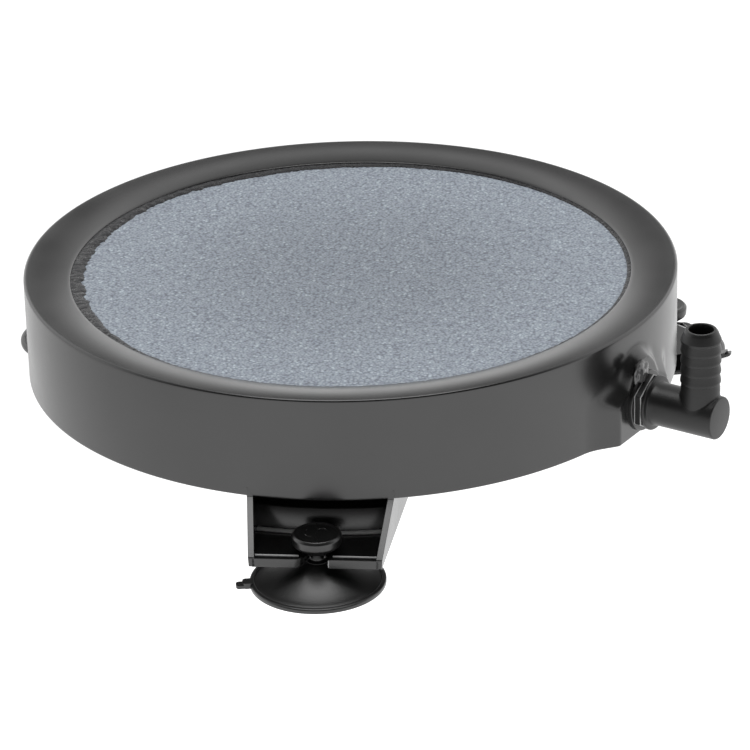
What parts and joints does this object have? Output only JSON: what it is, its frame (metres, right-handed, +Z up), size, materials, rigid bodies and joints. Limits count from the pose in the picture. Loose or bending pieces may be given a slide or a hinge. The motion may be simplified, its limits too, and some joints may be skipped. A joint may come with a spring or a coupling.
{
  "type": "pond air stone",
  "caption": "Round porous stone disc in a shallow plastic housing with a barbed air inlet elbow and suction cup feet.",
  "frame": {"origin": "centre of the bounding box's bottom face, on the plane that the suction cups stand on", "axes": "+Z up along the disc's axis; the front foot points nearly along -Y, the air inlet to the front right (+X, -Y)"},
  "size_m": [0.2306, 0.2286, 0.0579],
  "materials": {
    "housing_plastic": "fine moulded satin grain",
    "porous_stone": "coarse fused grit, dull",
    "sealant": "uneven, half glossy",
    "seal_rubber": "dull",
    "fitting_plastic": "smooth satin",
    "cup_rubber": "soft satin"
  },
  "bodies": {
    "housing": {"housing": "housing_plastic", "stone_disc": "porous_stone", "sealant_ring": "sealant", "inlet_gasket": "seal_rubber", "lock_nut": "fitting_plastic"},
    "elbow": {"inlet_elbow": "fitting_plastic"},
    "cup_front": {"suction_cup_front": "cup_rubber"},
    "cup_right": {"suction_cup_right": "cup_rubber"},
    "cup_left": {"suction_cup_left": "cup_rubber"}
  },
  "joints": [
    {"name": "inlet_swivel", "type": "hinge", "parent": "housing", "child": "elbow", "pos_m": [0.08074, -0.04363, 0.0307], "axis": [0.8339, -0.5519, 0], "range_deg": [-90, 90]},
    {"name": "cup_turn_front", "type": "hinge", "parent": "housing", "child": "cup_front", "pos_m": [-0.01788, -0.09462, 0.0085], "axis": [0, 0, 1], "continuous": true},
    {"name": "cup_turn_right", "type": "hinge", "parent": "housing", "child": "cup_right", "pos_m": [0.09306, 0.05921, 0.0085], "axis": [0, 0, 1], "continuous": true},
    {"name": "cup_turn_left", "type": "hinge", "parent": "housing", "child": "cup_left", "pos_m": [-0.09563, 0.07837, 0.0085], "axis": [0, 0, 1], "continuous": true}
  ]
}
